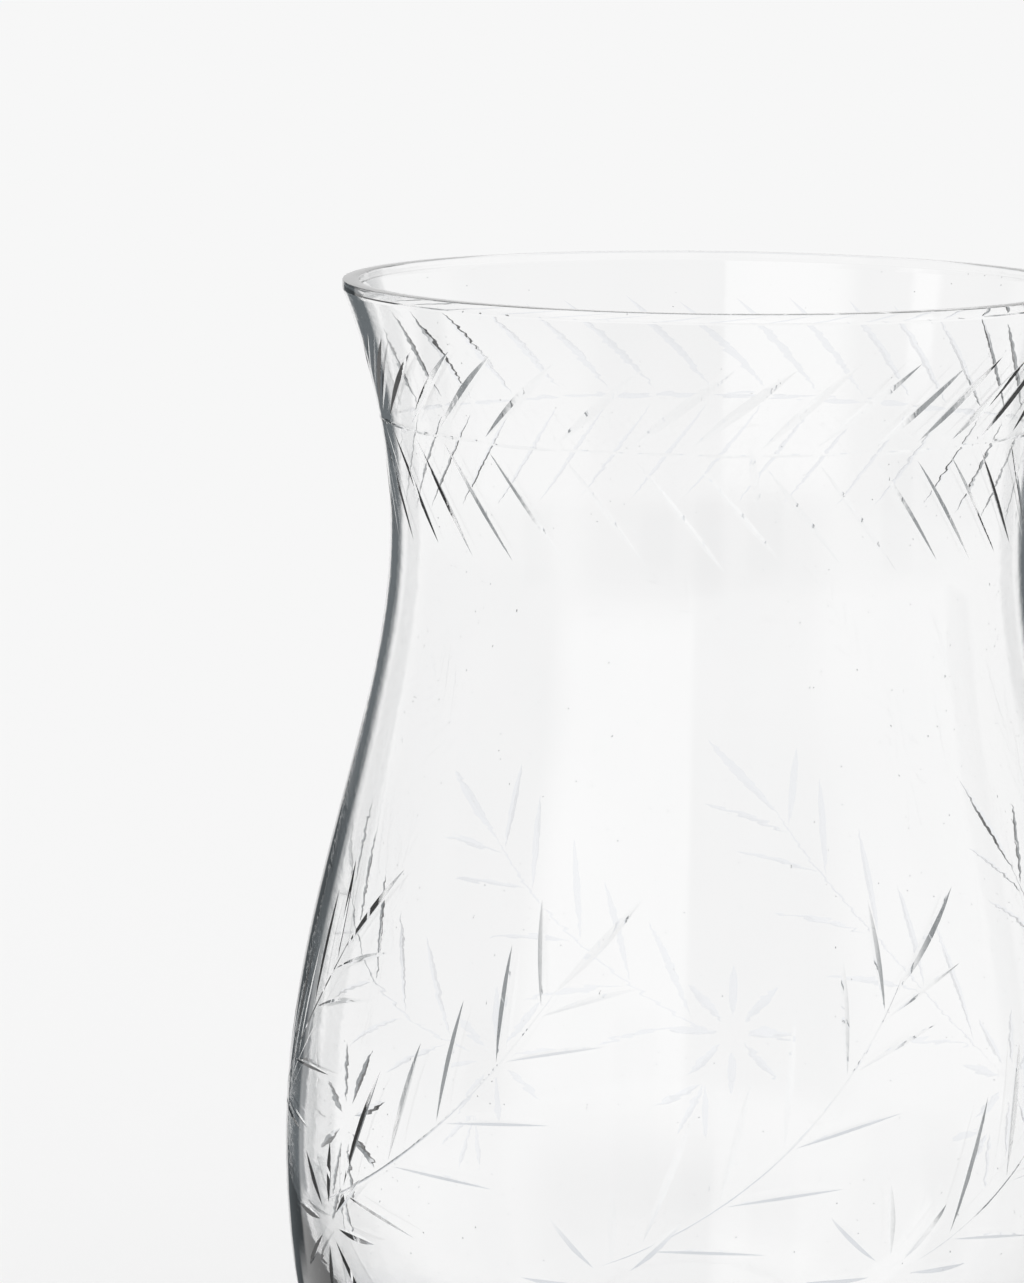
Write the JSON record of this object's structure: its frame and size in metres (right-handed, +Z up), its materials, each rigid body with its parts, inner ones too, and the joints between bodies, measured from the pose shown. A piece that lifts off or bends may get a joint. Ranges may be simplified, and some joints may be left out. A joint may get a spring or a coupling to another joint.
{
  "type": "footed mixing glass",
  "caption": "Clear blown glass for stirring drinks, with a flared mouth, narrow waist, full belly and low foot, wheel-cut with leaves, sprays and stars.",
  "frame": {"origin": "centre of the foot's ground ring, on the table that the glass stands on", "axes": "+Z up along the glass's axis, towards the mouth; -Y towards the front; the glass is round, so X and Y are free"},
  "size_m": [0.107, 0.107, 0.1791],
  "materials": {
    "bowl_glass": "clear, fire-polished, with fine wheel cuts",
    "collar_glass": "clear, fire-polished",
    "foot_glass": "clear, fire-polished, ring ground flat underneath"
  },
  "bodies": {
    "root": {"bowl": "bowl_glass", "collar": "collar_glass", "foot": "foot_glass"}
  },
  "joints": []
}
